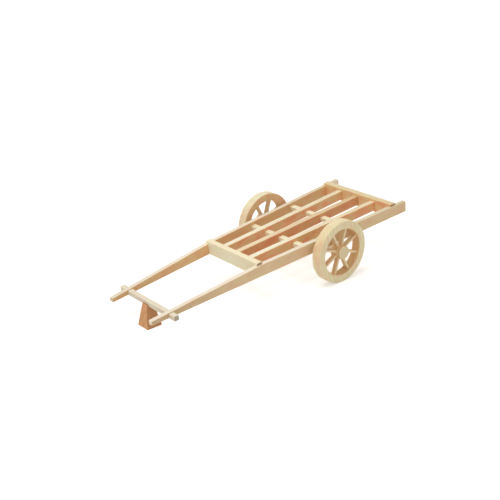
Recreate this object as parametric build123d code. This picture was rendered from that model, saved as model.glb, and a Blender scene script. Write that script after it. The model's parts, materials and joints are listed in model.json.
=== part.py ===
from build123d import *
import math
import os

os.makedirs("parts", exist_ok=True)

# Hand cart: a small plain wooden model with two spoked wheels, a slatted bed
# between two long side rails, and a notched block that props the crossbar of its shafts.
# The bed is drawn level, with X forward, Y to the left and Z up. Its origin is on
# the underside of the side rails, right above the wheel axle. The cart is then
# pitched nose down and set on the floor.

# Lengths along the bed, in millimetres from the wheel axle
shaft_reach = 207.7
tail_length = 103.8
front_board_reach = 90.0
rear_board_reach = 82.8
front_rung_reach = 31.3
rear_rung_reach = 26.5
taper_start_reach = 87.0

# Side rails, wide apart at the tail and drawn in toward the grips, where their tops taper down
half_width_at_axle = 45.0
splay_angle = 3.2
rail_thickness = 5.0
rail_depth = 11.4
grip_depth = 3.9

# Boards that close the bed at its front and rear
front_board_thickness = 6.0
rear_board_thickness = 7.2
board_rise = 2.5
board_housing_depth = 3.4

# Slats that fan out between the rails
slat_shares = (-0.5, 0.0, 0.5)
slat_names = ("right", "middle", "left")
slat_thickness = 6.2
slat_lift = 1.8
slat_seat = 1.5

# Rungs that pass through the slats
rung_width = 6.1
rung_height = 3.9
rung_top = 7.7
rung_tenon_length = 3.0

# Square crossbar, lapped into both grips from below
crossbar_square = 5.0
crossbar_length = 85.0
crossbar_from_grip_end = 20.5
crossbar_below_grips = 0.6
lap_shoulder_height = 2.0

# Axle: a square beam under the rails with a round journal at each end
axle_square = 6.5
journal_diameter = 5.0
journal_clearance = 0.1
hub_end_gap = 0.3
cap_diameter = 13.4
cap_thickness = 2.2
cap_socket_depth = 1.4
cap_edge = 0.4

# Wheels
wheel_track = 110.0
wheel_diameter = 63.0
rim_wall = 7.8
rim_width = 10.0
rim_edge = 0.6
hub_diameter = 14.4
hub_length = 9.4
spoke_count = 8
spoke_first_angle = 22.5
spoke_width = 2.2
spoke_depth = 4.8
spoke_seat_in_rim = 2.5
spoke_seat_in_hub = 2.0

# Stance and the block under the crossbar
nose_down_angle = 4.2
block_foot_length = 16.0
block_foot_width = 15.5
block_taper_angle = 10.7
block_ahead_of_bar = 0.4
block_right_of_middle = 1.1
block_notch_depth = 2.0

# Sizes that follow from the ones above
splay = math.radians(splay_angle)
pitch = math.radians(nose_down_angle)
wheel_offset = wheel_track / 2
axle_height = -axle_square / 2
crossbar_reach = shaft_reach - crossbar_from_grip_end
rim_opening_diameter = wheel_diameter - 2 * rim_wall
full_turn = 360


def rail_inner(x):
    """Half width between the rails' inner faces at a place along the bed."""
    return half_width_at_axle - x * math.tan(splay) - rail_thickness / math.cos(splay)


def rail_middle(x):
    """Half width between the rails' middle lines at a place along the bed."""
    return half_width_at_axle - x * math.tan(splay) - rail_thickness / math.cos(splay) / 2


def slab(corners, bottom, top):
    """A flat-topped solid over a plan outline."""
    outline = make_face(Polyline(*corners, close=True))
    return Pos(0, 0, bottom) * extrude(outline, amount=top - bottom)


def across_bed(back, front, bottom, top, past_rail_face):
    """A piece that spans the bed, its ends cut along the rails' inner faces."""
    back_half = rail_inner(back) + past_rail_face
    front_half = rail_inner(front) + past_rail_face
    corners = [(back, -back_half), (front, -front_half), (front, front_half), (back, back_half)]
    return slab(corners, bottom, top)


def on_wheel_axis(diameter, length):
    """A round solid about the Y axis."""
    return Rot(90, 0, 0) * Cylinder(diameter / 2, length)


# Rungs, rectangular bars with both ends let into the rails
rung_bottom = rung_top - rung_height
rung_front = across_bed(
    front_rung_reach - rung_width, front_rung_reach, rung_bottom, rung_top, rung_tenon_length
)
rung_rear = across_bed(
    -rear_rung_reach - rung_width, -rear_rung_reach, rung_bottom, rung_top, rung_tenon_length
)

# Slats, seated in both end boards and pierced by the rungs
slat_back = -rear_board_reach - slat_seat
slat_front = front_board_reach - front_board_thickness + slat_seat
slats = {}
for name, share in zip(slat_names, slat_shares):
    back_line = share * rail_middle(slat_back)
    front_line = share * rail_middle(slat_front)
    half = slat_thickness / 2
    corners = [
        (slat_back, back_line - half),
        (slat_front, front_line - half),
        (slat_front, front_line + half),
        (slat_back, back_line + half),
    ]
    slats[f"slat_{name}"] = slab(corners, slat_lift, rail_depth)


# End boards, let into the rails at their ends and housed for the slats
def end_board(front, thickness):
    """A board across the bed that stands a little above the rails."""
    board = across_bed(front - thickness, front, 0, rail_depth + board_rise, board_housing_depth)
    for slat in slats.values():
        board -= slat
    return board


board_front = end_board(front_board_reach, front_board_thickness)
board_rear = end_board(-rear_board_reach, rear_board_thickness)
for name in slats:
    slats[name] = slats[name] - rung_front - rung_rear

# Side rails, with a straight underside and a top that tapers down to the grips' ends
rail_outline = [
    (-tail_length, 0),
    (shaft_reach, 0),
    (shaft_reach, grip_depth),
    (taper_start_reach, rail_depth),
    (-tail_length, rail_depth),
]
rail_side = make_face(Plane.XZ * Polyline(*rail_outline, close=True))
rail_blank = extrude(rail_side, amount=rail_thickness, dir=(0, -1, 0))
rail_left = Pos(0, half_width_at_axle, 0) * Rot(0, 0, -splay_angle) * rail_blank
for seated in (board_front, board_rear, rung_front, rung_rear):
    rail_left -= seated

# Crossbar, cut down on top where the grips lap over it, and the notches that it fills
crossbar = Box(crossbar_square, crossbar_length, crossbar_square)
crossbar = Pos(crossbar_reach, 0, crossbar_square / 2 - crossbar_below_grips) * crossbar
lap = split(rail_left, bisect_by=Plane.XY.offset(lap_shoulder_height), keep=Keep.TOP)
crossbar -= lap
crossbar -= mirror(lap, about=Plane.XZ)
rail_left -= crossbar
rail_right = mirror(rail_left, about=Plane.XZ)

# Axle beam and its journals
hub_inner_face = wheel_offset - hub_length / 2
hub_outer_face = wheel_offset + hub_length / 2
beam_length = 2 * (hub_inner_face - hub_end_gap)
cap_inner_face = hub_outer_face + hub_end_gap
journal_span = 2 * (cap_inner_face + cap_socket_depth)
axle = Box(axle_square, beam_length, axle_square)
axle += on_wheel_axis(journal_diameter, journal_span)
axle = Pos(0, 0, axle_height) * axle

# Plain round caps pressed on the journals' ends
cap = on_wheel_axis(cap_diameter, cap_thickness)
cap = chamfer(cap.edges().filter_by(GeomType.CIRCLE).sort_by(Axis.Y)[-1], cap_edge)
cap = Pos(0, cap_inner_face + cap_thickness / 2, axle_height) * cap
axle_cap_left = cap - axle
axle_cap_right = mirror(axle_cap_left, about=Plane.XZ)

# Spoked wheel: flat spokes let into a plain hub and a solid ring rim
spoke_inner = hub_diameter / 2 - spoke_seat_in_hub
spoke_outer = rim_opening_diameter / 2 + spoke_seat_in_rim
spoke_middle = (spoke_inner + spoke_outer) / 2
spoke_blank = Pos(spoke_middle, 0, 0) * Box(spoke_outer - spoke_inner, spoke_depth, spoke_width)
rim = on_wheel_axis(wheel_diameter, rim_width)
rim = chamfer(rim.edges().filter_by(GeomType.CIRCLE), rim_edge)
rim -= on_wheel_axis(rim_opening_diameter, rim_width)
hub = on_wheel_axis(hub_diameter, hub_length)
hub -= on_wheel_axis(journal_diameter + 2 * journal_clearance, hub_length)
wheel = {}
for number in range(spoke_count):
    angle = spoke_first_angle + number * full_turn / spoke_count
    spoke = Rot(0, -angle, 0) * spoke_blank
    rim -= spoke
    hub -= spoke
    wheel[f"spoke_{number + 1}"] = spoke
wheel["rim"] = rim
wheel["hub"] = hub

# The whole cart in the bed's own frame
bed = {
    "side_rail_left": rail_left,
    "side_rail_right": rail_right,
    "end_board_front": board_front,
    "end_board_rear": board_rear,
    "rung_front": rung_front,
    "rung_rear": rung_rear,
    "crossbar": crossbar,
    "axle": axle,
    "axle_cap_left": axle_cap_left,
    "axle_cap_right": axle_cap_right,
}
bed.update(slats)
for name, piece in wheel.items():
    placed = Pos(0, wheel_offset, axle_height) * piece
    bed[f"wheel_left_{name}"] = placed
    bed[f"wheel_right_{name}"] = mirror(placed, about=Plane.XZ)

# Nose down about the axle, wheels on the floor, centred along the cart
pitched_rail = Rot(0, nose_down_angle, 0) * rail_left
rail_ends = pitched_rail.bounding_box()
middle_x = (rail_ends.min.X + rail_ends.max.X) / 2
axle_drop = axle_height * math.cos(pitch)
stance = Pos(-middle_x, 0, wheel_diameter / 2 - axle_drop) * Rot(0, nose_down_angle, 0)
cart = {name: stance * piece for name, piece in bed.items()}

# Block under the crossbar: tapered, with a shallow notch across its top that holds the bar
bar_x = crossbar_reach * math.cos(pitch) - crossbar_below_grips * math.sin(pitch) - middle_x
bar_drop = crossbar_reach * math.sin(pitch) + crossbar_below_grips * math.cos(pitch)
bar_underside = wheel_diameter / 2 - axle_drop - bar_drop
block = extrude(
    Rectangle(block_foot_length, block_foot_width),
    amount=bar_underside + block_notch_depth,
    taper=block_taper_angle,
)
block = Pos(bar_x + block_ahead_of_bar, -block_right_of_middle, 0) * block
cart["prop_block"] = block - cart["crossbar"]

for name, piece in cart.items():
    export_step(piece, f"parts/{name}.step")

axle_x = axle_height * math.sin(pitch) - middle_x
print("axle", round(axle_x, 3), "wheel centre height", wheel_diameter / 2)
print("crossbar", round(bar_x, 3), "underside", round(bar_underside, 3), "middle", round(middle_x, 3))
volume = 0
for name, piece in cart.items():
    volume += piece.volume
    print(name, len(piece.solids()), round(piece.volume, 1))
print("pieces", len(cart), "volume", round(volume, 1))
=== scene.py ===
import json
import math

import bmesh
import bpy
from mathutils import Matrix, Vector


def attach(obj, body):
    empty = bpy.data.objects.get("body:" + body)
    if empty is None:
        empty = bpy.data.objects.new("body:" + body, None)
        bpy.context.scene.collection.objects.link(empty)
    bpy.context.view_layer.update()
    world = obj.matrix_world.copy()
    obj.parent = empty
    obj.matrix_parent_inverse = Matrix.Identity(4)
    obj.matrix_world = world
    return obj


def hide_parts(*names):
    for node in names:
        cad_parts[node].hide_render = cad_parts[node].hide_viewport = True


# Plain wooden hand cart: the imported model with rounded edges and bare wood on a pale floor.

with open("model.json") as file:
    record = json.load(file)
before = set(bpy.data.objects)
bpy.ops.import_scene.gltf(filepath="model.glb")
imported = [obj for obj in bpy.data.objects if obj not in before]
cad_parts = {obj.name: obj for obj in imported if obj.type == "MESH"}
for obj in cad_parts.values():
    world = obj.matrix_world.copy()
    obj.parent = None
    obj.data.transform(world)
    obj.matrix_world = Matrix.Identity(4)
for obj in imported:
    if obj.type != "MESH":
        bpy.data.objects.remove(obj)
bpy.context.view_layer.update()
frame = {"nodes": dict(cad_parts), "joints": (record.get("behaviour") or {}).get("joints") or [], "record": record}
nodes = frame["nodes"]

MM = 0.001

# Shape of the wheels, as in the part's source
WHEEL_RADIUS = 31.5 * MM
RIM_OPENING_RADIUS = 23.7 * MM
RIM_WIDTH = 10.0 * MM
HUB_RADIUS = 7.2 * MM
HUB_LENGTH = 9.4 * MM
BORE_RADIUS = 2.6 * MM
SPOKE_COUNT = 8
SPOKE_FIRST_ANGLE = math.radians(22.5)

# How the bed lies: pitched nose down, its rails drawn in toward the front
PITCH = math.radians(4.2)
SPLAY = math.radians(3.2)

# Places along the cart, in metres, where the painted shade and the grips' colour change
TAIL_END = -0.137
TAIL_SHADE_FROM = 0.015
GRIP_FROM = 0.06
GRIP_END = 0.155

# How far edges are rounded over
BOARD_EDGE = 0.4 * MM
BAR_EDGE = 0.55 * MM
BLOCK_EDGE = 0.45 * MM
SPOKE_EDGE = 0.3 * MM
RIM_EDGE = 0.6 * MM
OPENING_EDGE = 0.35 * MM
HUB_EDGE = 0.5 * MM
BORE_EDGE = 0.2 * MM
CAP_EDGE = 0.25 * MM

# How finely edges and rings are cut, and the angle between two faces from which an edge is
# rounded over or shaded as sharp
ROUNDING_SEGMENTS = 3
ROUNDING_PROFILE = 0.6
ROUNDED_ABOVE = math.radians(25)
SHARP_ABOVE = math.radians(32)
RING_EDGE_STEPS = 5
RIM_STEPS = 144
HUB_STEPS = 64

# How a CAD mesh is cleaned first: points merged, flat faces joined
MERGED_WITHIN = 0.002 * MM
FLAT_BELOW = math.radians(0.5)

hinges = {joint["child"]: Vector(joint["pos_m"]) for joint in frame["joints"]}
node_body = {}
for body, members in frame["record"]["behaviour"]["bodies"].items():
    node_body.update(dict.fromkeys(members, body))


# Directions
def bed_direction(x, y, z):
    """A direction given in the bed's own frame, turned with the bed's pitch."""
    return (Matrix.Rotation(PITCH, 3, "Y") @ Vector((x, y, z))).normalized()


UP = bed_direction(0, 0, 1)
FORWARD = bed_direction(1, 0, 0)
LEFT = Vector((0, 1, 0))
UPRIGHT = Vector((0, 0, 1))


def rail_direction(share):
    """Along a rail or slat; a share of 1 is the left rail, -1 the right one."""
    return bed_direction(math.cos(share * SPLAY), -math.sin(share * SPLAY), 0)


def spoke_direction(number):
    """Along a spoke, out from the hub."""
    angle = SPOKE_FIRST_ANGLE + number * math.tau / SPOKE_COUNT
    return bed_direction(math.cos(angle), 0, math.sin(angle))


def grain_frame(along, across):
    """Rotation that carries the grain onto X and the board's width onto Y."""
    a = along.normalized()
    b = (across - across.dot(a) * a).normalized()
    c = a.cross(b)
    return Matrix((a, b, c)).to_euler("XYZ")


# Colours
def linear(red, green, blue):
    """A screen colour, 0 to 255, as the linear values that the shader takes."""
    def one(value):
        value /= 255
        return value / 12.92 if value <= 0.04045 else ((value + 0.055) / 1.055) ** 2.4
    return (one(red), one(green), one(blue), 1.0)


# Each kind of wood: early wood, late wood, end grain, and the warmer, deeper colour painted on sides and insides
# as shade
BED_WOOD = {
    "early": linear(253, 251, 229), "late": linear(238, 213, 172),
    "end": linear(160, 128, 88), "painted_shade": linear(247, 206, 160),
}
RAIL_WOOD = {
    "early": linear(249, 242, 226), "late": linear(233, 206, 172),
    "end": linear(230, 208, 172), "painted_shade": linear(234, 197, 147),
}
NEAR_RAIL_WOOD = dict(RAIL_WOOD, end=linear(255, 238, 208), painted_shade=linear(230, 197, 143))
PALE_WOOD = {
    "early": linear(252, 248, 220), "late": linear(238, 214, 170),
    "end": linear(150, 118, 78), "painted_shade": linear(240, 200, 150),
}
FRONT_WOOD = dict(
    PALE_WOOD,
    early=linear(255, 254, 226), late=linear(247, 226, 182), painted_shade=linear(236, 200, 150),
)
DEEPER_WOOD = {
    "early": linear(248, 235, 204), "late": linear(229, 193, 147),
    "end": linear(172, 140, 98), "painted_shade": linear(232, 175, 131),
}
REAR_WOOD = {
    "early": linear(236, 224, 186), "late": linear(219, 184, 136),
    "end": linear(172, 142, 98), "painted_shade": linear(249, 214, 165),
}
BAR_WOOD = {
    "early": linear(240, 231, 212), "late": linear(224, 210, 182),
    "end": linear(166, 158, 136), "painted_shade": linear(226, 196, 156),
}
WHEEL_WOOD = {
    "early": linear(252, 247, 210), "late": linear(230, 197, 148),
    "end": linear(230, 212, 170), "painted_shade": linear(238, 202, 154),
}
FAR_WHEEL_WOOD = dict(WHEEL_WOOD, early=linear(250, 249, 224), late=linear(226, 203, 163))
# The hub's ends are darker than end grain alone makes them: painted shade round the axle cap
HUB_WOOD_SHADED = dict(WHEEL_WOOD, end=linear(196, 170, 128))
SPOKE_WOOD = {
    "early": linear(253, 238, 202), "late": linear(240, 208, 164),
    "end": linear(204, 166, 122), "painted_shade": linear(238, 216, 174),
}
BLOCK_WOOD = {
    "early": linear(230, 178, 126), "late": linear(186, 120, 74),
    "end": linear(170, 108, 70), "painted_shade": linear(196, 144, 98),
}

# Painted shade on the bed's tops, which grow darker toward the tail: what their tail end keeps of the wood's
# colour
RAIL_TAIL_SHADE = (0.82, 0.79, 0.68, 1.0)
SLAT_TAIL_SHADE = (0.90, 0.84, 0.74, 1.0)
DEEPER_TAIL_SHADE = (0.79, 0.68, 0.53, 1.0)

# What the grips keep of it: the tops grow darker toward the grips' ends, and the painted shade on the sides deeper
LEFT_GRIP = {"tops": (0.95, 0.95, 0.95, 1.0), "sides": (0.71, 0.62, 0.50, 1.0)}
RIGHT_GRIP = {"tops": (0.88, 0.88, 0.88, 1.0), "sides": (0.90, 0.90, 0.90, 1.0)}

# What rings, fibres and patches keep of the painted shade's colour
PAINTED_SHADE_RING = (0.92, 0.76, 0.66, 1.0)
PAINTED_SHADE_STREAK = (0.92, 0.8, 0.7, 1.0)
PAINTED_SHADE_PATCH = (0.94, 0.78, 0.7, 1.0)

# What a mottle of rose or of straw keeps of the wood's colour
ROSE = (1.0, 0.77, 0.72, 1.0)
STRAW = (0.94, 1.0, 0.84, 1.0)

# How far the mottles show on faces without painted shade and on those with it
EVEN_MOTTLE = (0.3, 0.3)
RAIL_MOTTLE = (0.25, 0.5)
STRONG_MOTTLE = (0.35, 1.0)
RIM_MOTTLE = (0.55, 0.65)

# Where the pith lies beside a piece: it moves on with the piece's seed
PITH_ALONG_STEP = 110 * MM
PITH_ASIDE, PITH_ASIDE_STEP, PITH_ASIDE_PLACES = 31 * MM, 4 * MM, 3
PITH_BELOW, PITH_BELOW_STEP, PITH_BELOW_PLACES = 22 * MM, 5 * MM, 4

# Noises in the wood: how fast they change along the grain and across it, and their detail.
# The speed of the rings' drift along the grain is set with each wood
DRIFT_ACROSS = (60.0, 60.0)
DRIFT_DETAIL = 3.0
FADE_NOISE = {"stretch": (14.0, 90.0, 90.0), "detail": 1.0}
FIBRE_NOISE = {"stretch": (90.0, 1500.0, 1500.0), "detail": 4.0, "roughness": 0.65}
PATCH_NOISE = {"stretch": (40.0, 170.0, 170.0), "detail": 2.0}
HUE_NOISE = {"stretch": (80.0, 200.0, 200.0), "detail": 1.0}

# Shifts that set one noise apart from another
FADE_SHIFT = (5.3, 4.1, 2.9)
HUE_SHIFT = (3.1, 1.7, 2.3)

# Where in its noise's range each mark begins and is full, and how far it shows
FADE_RISE = (0.36, 0.62)
STREAK_RISE, STREAK_SHARE = (0.3, 0.7), 0.35
PATCH_RISE, PATCH_SHARE = (0.4, 0.65), 0.3
ROSE_RISE = (0.47, 0.63)
STRAW_RISE = (0.53, 0.37)

# Growth rings: how far they wander, and how sharply a ring ends
RING_DRIFT = 4.2 * MM
RING_SHARPNESS = 3.0

# How squarely a face looks along a direction when it begins to count, and when it is full
FACED_RISE = (0.3, 0.8)
END_RISE = (0.6, 0.92)

# The wood's surface
BUMP_STRENGTH = 0.25
BUMP_HEIGHT = 0.06 * MM
ROUGHNESS = 0.62
REFRACTION = 1.4


class Tree:
    """Small helper that adds nodes and links them by name."""

    def __init__(self, owner):
        owner.use_nodes = True
        self.tree = owner.node_tree
        self.tree.nodes.clear()

    def add(self, kind, inputs=None, **settings):
        node = self.tree.nodes.new(kind)
        for key, value in settings.items():
            setattr(node, key, value)
        for key, value in (inputs or {}).items():
            self.put(node.inputs[key], value)
        return node

    def put(self, socket, value):
        if isinstance(value, bpy.types.NodeSocket):
            self.tree.links.new(value, socket)
        else:
            socket.default_value = value

    def math(self, operation, first, second=0.0):
        node = self.add("ShaderNodeMath", {0: first, 1: second}, operation=operation)
        return node.outputs[0]

    def vector(self, operation, first, second, output=0):
        node = self.add("ShaderNodeVectorMath", {0: first, 1: second}, operation=operation)
        return node.outputs[output]

    def noise(self, at, stretch, detail, roughness=0.5):
        """Noise that is stretched along the grain."""
        place = self.vector("MULTIPLY", at, stretch)
        inputs = {"Vector": place, "Scale": 1.0, "Detail": detail, "Roughness": roughness}
        return self.add("ShaderNodeTexNoise", inputs).outputs["Fac"]

    def span(self, value, low, high, share=1.0):
        """A value's rise from low to high as a factor from 0 to a share."""
        inputs = {
            "Value": value, "From Min": low, "From Max": high, "To Min": 0.0, "To Max": share,
        }
        return self.add("ShaderNodeMapRange", inputs).outputs[0]

    def mix(self, factor, first, second, blend="MIX"):
        node = self.add("ShaderNodeMix", data_type="RGBA", blend_type=blend)
        for index, value in ((0, factor), (6, first), (7, second)):
            self.put(node.inputs[index], value)
        return node.outputs[2]


def along_cart(t, place, start, end):
    """A factor that rises from 0 to 1 between two places along the cart."""
    x = t.add("ShaderNodeSeparateXYZ", {0: place.outputs["Object"]}).outputs[0]
    return t.span(x, start, end)


def wood(
    name, tone, along, across, seed,
    ring=1.7, late_share=0.4, end_share=0.8, wander=9.0, mottle=EVEN_MOTTLE, tail_shade=None, grip=None,
):
    """Bare wood. Growth rings run round a pith beside the piece, fibres and slow patches run
    along the grain, and the ends are darker. A value stored on the mesh says how far a face
    takes a warmer, deeper colour: painted shade on the cart's sides and insides.

    ring: distance between growth rings, in millimetres
    late_share, end_share: how far the rings and the end grain show
    wander: how fast the rings' drift changes along the grain
    mottle: how far rose and straw show, on faces without painted shade and on those with it
    tail, grip: what the tops keep of the colour at the bed's rear end as painted shade, and what the shafts' grips
    keep of it"""
    material = bpy.data.materials.new(name)
    t = Tree(material)
    place = t.add("ShaderNodeTexCoord")
    turned = t.add(
        "ShaderNodeMapping",
        {"Vector": place.outputs["Object"], "Rotation": grain_frame(along, across)},
        vector_type="POINT",
    ).outputs[0]
    pith = (
        PITH_ALONG_STEP * seed,
        PITH_ASIDE + PITH_ASIDE_STEP * (seed % PITH_ASIDE_PLACES),
        PITH_BELOW + PITH_BELOW_STEP * (seed % PITH_BELOW_PLACES),
    )
    at = t.vector("ADD", turned, pith)

    # Growth rings, each with a soft rise and a sharp fall, that wander, fade and come back
    drift = t.noise(at, (wander, *DRIFT_ACROSS), DRIFT_DETAIL)
    parts = t.add("ShaderNodeSeparateXYZ", {0: at}).outputs
    from_pith = t.add("ShaderNodeCombineXYZ", {1: parts[1], 2: parts[2]}).outputs[0]
    radius = t.vector("LENGTH", from_pith, (0, 0, 0), "Value")
    radius = t.math("ADD", radius, t.math("MULTIPLY", drift, RING_DRIFT))
    turn = t.math("FRACT", t.math("DIVIDE", radius, ring * MM))
    line = t.math("POWER", turn, RING_SHARPNESS)
    fade = t.noise(t.vector("ADD", at, FADE_SHIFT), **FADE_NOISE)
    line = t.math("MULTIPLY", line, t.span(fade, *FADE_RISE, late_share))

    # Fibres, and patches a few millimetres across
    fibre = t.noise(at, **FIBRE_NOISE)
    streak = t.span(fibre, *STREAK_RISE, STREAK_SHARE)
    patch = t.span(t.noise(at, **PATCH_NOISE), *PATCH_RISE, PATCH_SHARE)
    colour = tone["early"]
    for mark in (line, streak, patch):
        colour = t.mix(mark, colour, tone["late"])

    # Painted shade: the tops of the bed's long pieces grow darker toward the tail
    if tail_shade:
        upward = t.vector("DOT_PRODUCT", place.outputs["Normal"], tuple(UP), "Value")
        toward_tail = along_cart(t, place, TAIL_SHADE_FROM, TAIL_END)
        painted_tail_shade = t.math("MULTIPLY", toward_tail, t.span(upward, *FACED_RISE))
        colour = t.mix(painted_tail_shade, colour, tail_shade, "MULTIPLY")

    # Painted shade: faces of the cart's sides and insides take a warmer, deeper colour, which keeps the figure of
    # the wood
    painted_shade = t.add("ShaderNodeAttribute", attribute_name="painted_shade").outputs["Fac"]
    painted_shade_colour = tone["painted_shade"]
    for mark, kept in ((line, PAINTED_SHADE_RING), (streak, PAINTED_SHADE_STREAK), (patch, PAINTED_SHADE_PATCH)):
        painted_shade_colour = t.mix(mark, painted_shade_colour, kept, "MULTIPLY")
    # Toward the grips' ends the tops grow darker and the painted shade on the sides deeper
    if grip:
        toward_grip = along_cart(t, place, GRIP_FROM, GRIP_END)
        colour = t.mix(toward_grip, colour, grip["tops"], "MULTIPLY")
        painted_shade_colour = t.mix(toward_grip, painted_shade_colour, grip["sides"], "MULTIPLY")
    colour = t.mix(painted_shade, colour, painted_shade_colour)

    # Mottles that lean toward rose or straw
    hue = t.noise(t.vector("ADD", at, HUE_SHIFT), **HUE_NOISE)
    strength = t.add(
        "ShaderNodeMapRange", {"Value": painted_shade, "To Min": mottle[0], "To Max": mottle[1]}
    ).outputs[0]
    for rise, kept in ((ROSE_RISE, ROSE), (STRAW_RISE, STRAW)):
        leaning = t.math("MULTIPLY", t.span(hue, *rise), strength)
        colour = t.mix(leaning, colour, kept, "MULTIPLY")

    # End grain, where the surface faces along the fibres
    along_grain = tuple(along.normalized())
    facing = t.vector("DOT_PRODUCT", place.outputs["Normal"], along_grain, "Value")
    at_end = t.span(t.math("ABSOLUTE", facing), *END_RISE, end_share)
    colour = t.mix(at_end, colour, tone["end"])

    bump = t.add(
        "ShaderNodeBump", {"Strength": BUMP_STRENGTH, "Distance": BUMP_HEIGHT, "Height": fibre}
    ).outputs[0]
    shader = t.add(
        "ShaderNodeBsdfPrincipled",
        {"Base Color": colour, "Roughness": ROUGHNESS, "IOR": REFRACTION, "Normal": bump},
    ).outputs[0]
    t.add("ShaderNodeOutputMaterial", {"Surface": shader})
    return material


# Shapes
def finish_piece(name, work, mesh, material, body, painted_shade, *replaced):
    """Write the worked mesh, store how far each face takes painted shade, and hang it on its body."""
    work.normal_update()
    values = [
        painted_shade(face.calc_center_median(), face.normal) if painted_shade else 0.0 for face in work.faces
    ]
    work.to_mesh(mesh)
    work.free()
    mesh.attributes.new("painted_shade", "FLOAT", "FACE").data.foreach_set("value", values)
    mesh.polygons.foreach_set("use_smooth", [True] * len(mesh.polygons))
    mesh.set_sharp_from_angle(angle=SHARP_ABOVE)
    mesh.materials.clear()
    mesh.materials.append(material)
    obj = bpy.data.objects.new(name, mesh)
    bpy.context.scene.collection.objects.link(obj)
    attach(obj, body)
    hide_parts(*replaced)


def softened(name, material, width, painted_shade=None):
    """The CAD solid's mesh with its outer edges rounded over."""
    mesh = nodes[name].data.copy()
    work = bmesh.new()
    work.from_mesh(mesh)
    bmesh.ops.remove_doubles(work, verts=work.verts, dist=MERGED_WITHIN)
    bmesh.ops.dissolve_limit(work, angle_limit=FLAT_BELOW, verts=work.verts, edges=work.edges)
    edges = [
        edge for edge in work.edges
        if edge.is_manifold and edge.is_convex and edge.calc_face_angle() > ROUNDED_ABOVE
    ]
    bmesh.ops.bevel(
        work, geom=edges, offset=width, offset_type="OFFSET", segments=ROUNDING_SEGMENTS,
        profile=ROUNDING_PROFILE, affect="EDGES", clamp_overlap=False,
    )
    bmesh.ops.triangulate(work, faces=[face for face in work.faces if len(face.verts) > 4])
    finish_piece(f"{name}_wood", work, mesh, material, node_body[name], painted_shade, name)


def lathe(name, profile, steps, centre, material, body, painted_shade, *replaced):
    """A closed ring about the Y axis from a profile of radius and place along the axis."""
    work = bmesh.new()
    rings = []
    for step in range(steps):
        angle = math.tau * (step + 0.5) / steps
        rings.append([
            work.verts.new(centre + Vector((r * math.cos(angle), y, r * math.sin(angle))))
            for r, y in profile
        ])
    count = len(profile)
    for step in range(steps):
        here, there = rings[step], rings[(step + 1) % steps]
        for index in range(count):
            following = (index + 1) % count
            work.faces.new((here[index], here[following], there[following], there[index]))
    bmesh.ops.recalc_face_normals(work, faces=work.faces)
    finish_piece(name, work, bpy.data.meshes.new(name), material, body, painted_shade, *replaced)


def rounded_ring(inner, outer, half_width, inner_round, outer_round):
    """Profile of a ring with rounded edges."""
    corners = (
        (outer - outer_round, half_width - outer_round, outer_round, math.pi / 2),
        (outer - outer_round, outer_round - half_width, outer_round, 0.0),
        (inner + inner_round, inner_round - half_width, inner_round, -math.pi / 2),
        (inner + inner_round, half_width - inner_round, inner_round, math.pi),
    )
    points = []
    for middle_r, middle_y, rounding, start in corners:
        for step in range(RING_EDGE_STEPS + 1):
            angle = start - math.pi / 2 * step / RING_EDGE_STEPS
            points.append(
                (middle_r + rounding * math.cos(angle), middle_y + rounding * math.sin(angle))
            )
    return points


# How far faces take painted shade: a rail's inside at the tail and its outside, the front board's
# top, a rim's face toward the cart and the streak of painted shade down its front
TAIL_INSIDE_SHADE = 0.15
RAIL_OUTSIDE_SHADE = 0.7
BOARD_TOP_SHADE = 0.15
RIM_INSIDE_SHADE = 0.85
RIM_STREAK_SHADE = 0.5

# Where round the rim its streak of painted shade lies, and how fast it fades to its sides
RIM_STREAK = bed_direction(0.9, 0, 0.44)
RIM_STREAK_FADE = 8


def faced(normal, direction):
    """How squarely a face looks along a direction, from 0 to 1."""
    begins, full = FACED_RISE
    return max(0.0, min(1.0, (normal.dot(direction) - begins) / (full - begins)))


def rail_shade(outward):
    """Painted shade on a rail's faces: full toward the bed, less outside and at the rail's rear end."""
    def tone(place, normal):
        inside = TAIL_INSIDE_SHADE if place.x < TAIL_END else 1.0
        return max(inside * faced(normal, -outward), RAIL_OUTSIDE_SHADE * faced(normal, outward))
    return tone


def side_shade(place, normal):
    """Painted shade on a slat's or block's two sides."""
    return faced(normal, LEFT if normal.y > 0 else -LEFT)


def board_shade(toward_bed, top=0.0):
    """Painted shade on a board's face toward the bed, and a share of it on top."""
    return lambda place, normal: max(faced(normal, toward_bed), top * faced(normal, UP))


def rim_shade(centre, cart_side):
    """Painted shade on a rim: in its opening, toward the cart, and in a streak down its front."""
    def tone(place, normal):
        outward = ((place - centre) * Vector((1, 0, 1))).normalized()
        streak = max(0.0, normal.dot(RIM_STREAK)) ** RIM_STREAK_FADE
        return max(
            faced(normal, -outward),
            RIM_INSIDE_SHADE * faced(normal, cart_side),
            RIM_STREAK_SHADE * streak,
        )
    return tone


def round_side_shade(place, normal):
    """Painted shade on the faces that look along the wheel's plane."""
    return 1 - abs(normal.y)


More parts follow.
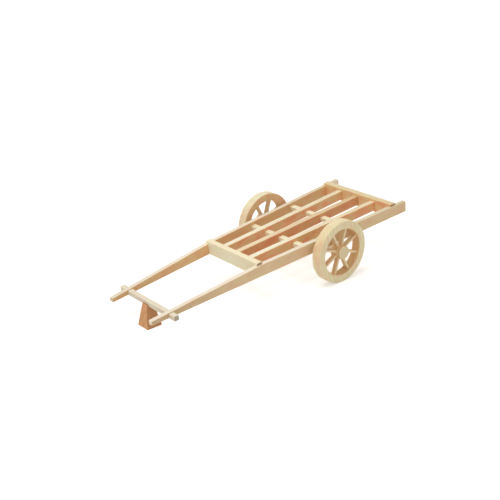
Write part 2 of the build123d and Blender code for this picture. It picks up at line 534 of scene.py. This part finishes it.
# Rails, slats, boards and rungs
for side, share, seed, tone, grip in (
    ("left", 1, 1, NEAR_RAIL_WOOD, LEFT_GRIP),
    ("right", -1, 2, RAIL_WOOD, RIGHT_GRIP),
):
    material = wood(
        f"rail {side}", tone, rail_direction(share), LEFT, seed,
        mottle=RAIL_MOTTLE, tail_shade=RAIL_TAIL_SHADE, grip=grip,
    )
    softened(f"side_rail_{side}", material, BOARD_EDGE, rail_shade(share * LEFT))
for name, share, seed, tone, tail_shade in (
    ("left", 0.5, 3, BED_WOOD, SLAT_TAIL_SHADE),
    ("middle", 0.0, 4, DEEPER_WOOD, DEEPER_TAIL_SHADE),
    ("right", -0.5, 5, BED_WOOD, SLAT_TAIL_SHADE),
):
    material = wood(
        f"slat {name}", tone, rail_direction(share), LEFT, seed, mottle=STRONG_MOTTLE, tail_shade=tail_shade,
    )
    softened(f"slat_{name}", material, BOARD_EDGE, side_shade)
for end, seed, tone, mottle, painted_shade in (
    ("front", 6, FRONT_WOOD, EVEN_MOTTLE, board_shade(-FORWARD, BOARD_TOP_SHADE)),
    ("rear", 7, REAR_WOOD, STRONG_MOTTLE, board_shade(FORWARD)),
):
    material = wood(f"board {end}", tone, LEFT, UP, seed, mottle=mottle)
    softened(f"end_board_{end}", material, BOARD_EDGE, painted_shade)
for end, seed in (("front", 8), ("rear", 9)):
    softened(f"rung_{end}", wood(f"rung {end}", PALE_WOOD, LEFT, UP, seed), BOARD_EDGE)

# Crossbar, axle beam and the block under the bar
softened("crossbar", wood("crossbar", BAR_WOOD, LEFT, UP, 10), BAR_EDGE)
softened("axle", wood("axle", BED_WOOD, LEFT, UP, 11), BOARD_EDGE)
block_wood = wood("prop block", BLOCK_WOOD, UPRIGHT, LEFT, 12, ring=2.2)
softened("prop_block", block_wood, BLOCK_EDGE, side_shade)

# Wheels
rim_grain = bed_direction(0.1, 0, 1)
rim_profile = rounded_ring(RIM_OPENING_RADIUS, WHEEL_RADIUS, RIM_WIDTH / 2, OPENING_EDGE, RIM_EDGE)
hub_profile = rounded_ring(BORE_RADIUS, HUB_RADIUS, HUB_LENGTH / 2, BORE_EDGE, HUB_EDGE)
rim_woods = {
    side: wood(
        f"rim {side}", tone, rim_grain, LEFT, 13,
        ring=2.7, late_share=0.6, end_share=0.3, wander=28.0, mottle=RIM_MOTTLE,
    )
    for side, tone in (("left", WHEEL_WOOD), ("right", FAR_WHEEL_WOOD))
}
hub_wood = wood("hub", HUB_WOOD_SHADED, LEFT, UP, 14, ring=1.3)
cap_wood = wood("cap", WHEEL_WOOD, LEFT, UP, 15, ring=1.3)
spoke_woods = [
    wood(f"spoke {number + 1}", SPOKE_WOOD, spoke_direction(number), LEFT, 16 + number, ring=1.2)
    for number in range(SPOKE_COUNT)
]
for side, sign in (("left", 1), ("right", -1)):
    body = f"wheel_{side}"
    centre = hinges[body]
    for node, profile, steps, material, painted_shade in (
        (f"{body}_rim", rim_profile, RIM_STEPS, rim_woods[side], rim_shade(centre, -sign * LEFT)),
        (f"{body}_hub", hub_profile, HUB_STEPS, hub_wood, round_side_shade),
    ):
        lathe(f"{node}_wood", profile, steps, centre, material, body, painted_shade, node)
    for number, material in enumerate(spoke_woods):
        softened(f"{body}_spoke_{number + 1}", material, SPOKE_EDGE, round_side_shade)
    softened(f"axle_cap_{side}", cap_wood, CAP_EDGE, round_side_shade)


# Floor, light and camera
FLOOR_SPAN = 4.0
FLOOR_COLOUR = (0.86, 0.86, 0.86, 1)
AMBIENT_COLOUR = (1.0, 0.98, 0.95, 1)
AMBIENT_STRENGTH = 0.45
WHITE = (1, 1, 1, 1)

# The floor glows to the eye, less near the cart than far from it, so that the shadow stays
GLOW_NEAR, GLOW_FAR = 0.45, 1.0
GLOW_RISE = {"From Min": 0.2, "From Max": 0.7}

LAMP_AIM = (0, 0, 0.02)
CAMERA_AT = Vector((0.52224, 0.61349, 0.38838))
CAMERA_AIM = Vector((-0.00151, -0.01968, 0.025))
CAMERA_ROLL = math.radians(-2.386)
CAMERA_SENSOR = 36.0
CAMERA_LENS = 64.63
CAMERA_CLIP = (0.05, 20.0)


def seen_ray(t):
    """1 for rays that show the background to the eye, in gloss or through glass."""
    rays = t.add("ShaderNodeLightPath").outputs
    reflected = t.math("MAXIMUM", rays["Is Glossy Ray"], rays["Is Transmission Ray"])
    return t.math("MAXIMUM", rays["Is Camera Ray"], reflected)


floor_mesh = bpy.data.meshes.new("floor")
floor_corners = [
    (x * FLOOR_SPAN, y * FLOOR_SPAN, 0) for x, y in ((-1, -1), (1, -1), (1, 1), (-1, 1))
]
floor_mesh.from_pydata(floor_corners, [], [(0, 1, 2, 3)])
floor = bpy.data.objects.new("floor", floor_mesh)
bpy.context.scene.collection.objects.link(floor)
floor_material = bpy.data.materials.new("floor")
t = Tree(floor_material)
place = t.add("ShaderNodeTexCoord").outputs["Object"]
distance = t.vector("LENGTH", place, (0, 0, 0), "Value")
glow_share = t.add(
    "ShaderNodeMapRange",
    {"Value": distance, **GLOW_RISE, "To Min": GLOW_NEAR, "To Max": GLOW_FAR},
).outputs[0]
glow_strength = t.math("MULTIPLY", seen_ray(t), glow_share)
glow = t.add("ShaderNodeEmission", {"Strength": glow_strength}).outputs[0]
diffuse = t.add("ShaderNodeBsdfDiffuse", {"Color": FLOOR_COLOUR}).outputs[0]
surface = t.add("ShaderNodeAddShader", {0: diffuse, 1: glow}).outputs[0]
t.add("ShaderNodeOutputMaterial", {"Surface": surface})
floor_mesh.materials.append(floor_material)

world = bpy.data.worlds.new("studio")
bpy.context.scene.world = world
t = Tree(world)
ambient = t.add(
    "ShaderNodeBackground", {"Color": AMBIENT_COLOUR, "Strength": AMBIENT_STRENGTH}
).outputs[0]
backdrop = t.add("ShaderNodeBackground", {"Color": WHITE, "Strength": 1.0}).outputs[0]
mixed = t.add("ShaderNodeMixShader", {0: seen_ray(t), 1: ambient, 2: backdrop}).outputs[0]
t.add("ShaderNodeOutputWorld", {"Surface": mixed})


def aimed(at, aim):
    """Rotation that points a lamp or camera from one place at another."""
    return (Vector(aim) - Vector(at)).to_track_quat("-Z", "Y")


def softbox(name, at, size, power, colour):
    """A square area lamp aimed at the cart."""
    lamp = bpy.data.lights.new(name, "AREA")
    lamp.shape = "SQUARE"
    lamp.size = size
    lamp.energy = power
    lamp.color = colour
    obj = bpy.data.objects.new(name, lamp)
    obj.location = at
    obj.rotation_mode = "QUATERNION"
    obj.rotation_quaternion = aimed(at, LAMP_AIM)
    bpy.context.scene.collection.objects.link(obj)


softbox("key", at=(0.45, -0.1, 1.7), size=1.1, power=17.0, colour=(1.0, 1.0, 1.0))
softbox("fill", at=(0.2, 1.6, 0.6), size=1.0, power=2.0, colour=(1.0, 0.9, 0.78))

camera_data = bpy.data.cameras.new("camera")
camera_data.sensor_width = CAMERA_SENSOR
camera_data.lens = CAMERA_LENS
camera_data.clip_start, camera_data.clip_end = CAMERA_CLIP
camera = bpy.data.objects.new("camera", camera_data)
turned = aimed(CAMERA_AT, CAMERA_AIM).to_matrix().to_4x4()
rolled = Matrix.Rotation(CAMERA_ROLL, 4, "Z")
camera.matrix_world = Matrix.Translation(CAMERA_AT) @ turned @ rolled
bpy.context.scene.collection.objects.link(camera)
bpy.context.scene.camera = camera
bpy.context.scene.view_settings.view_transform = "Standard"
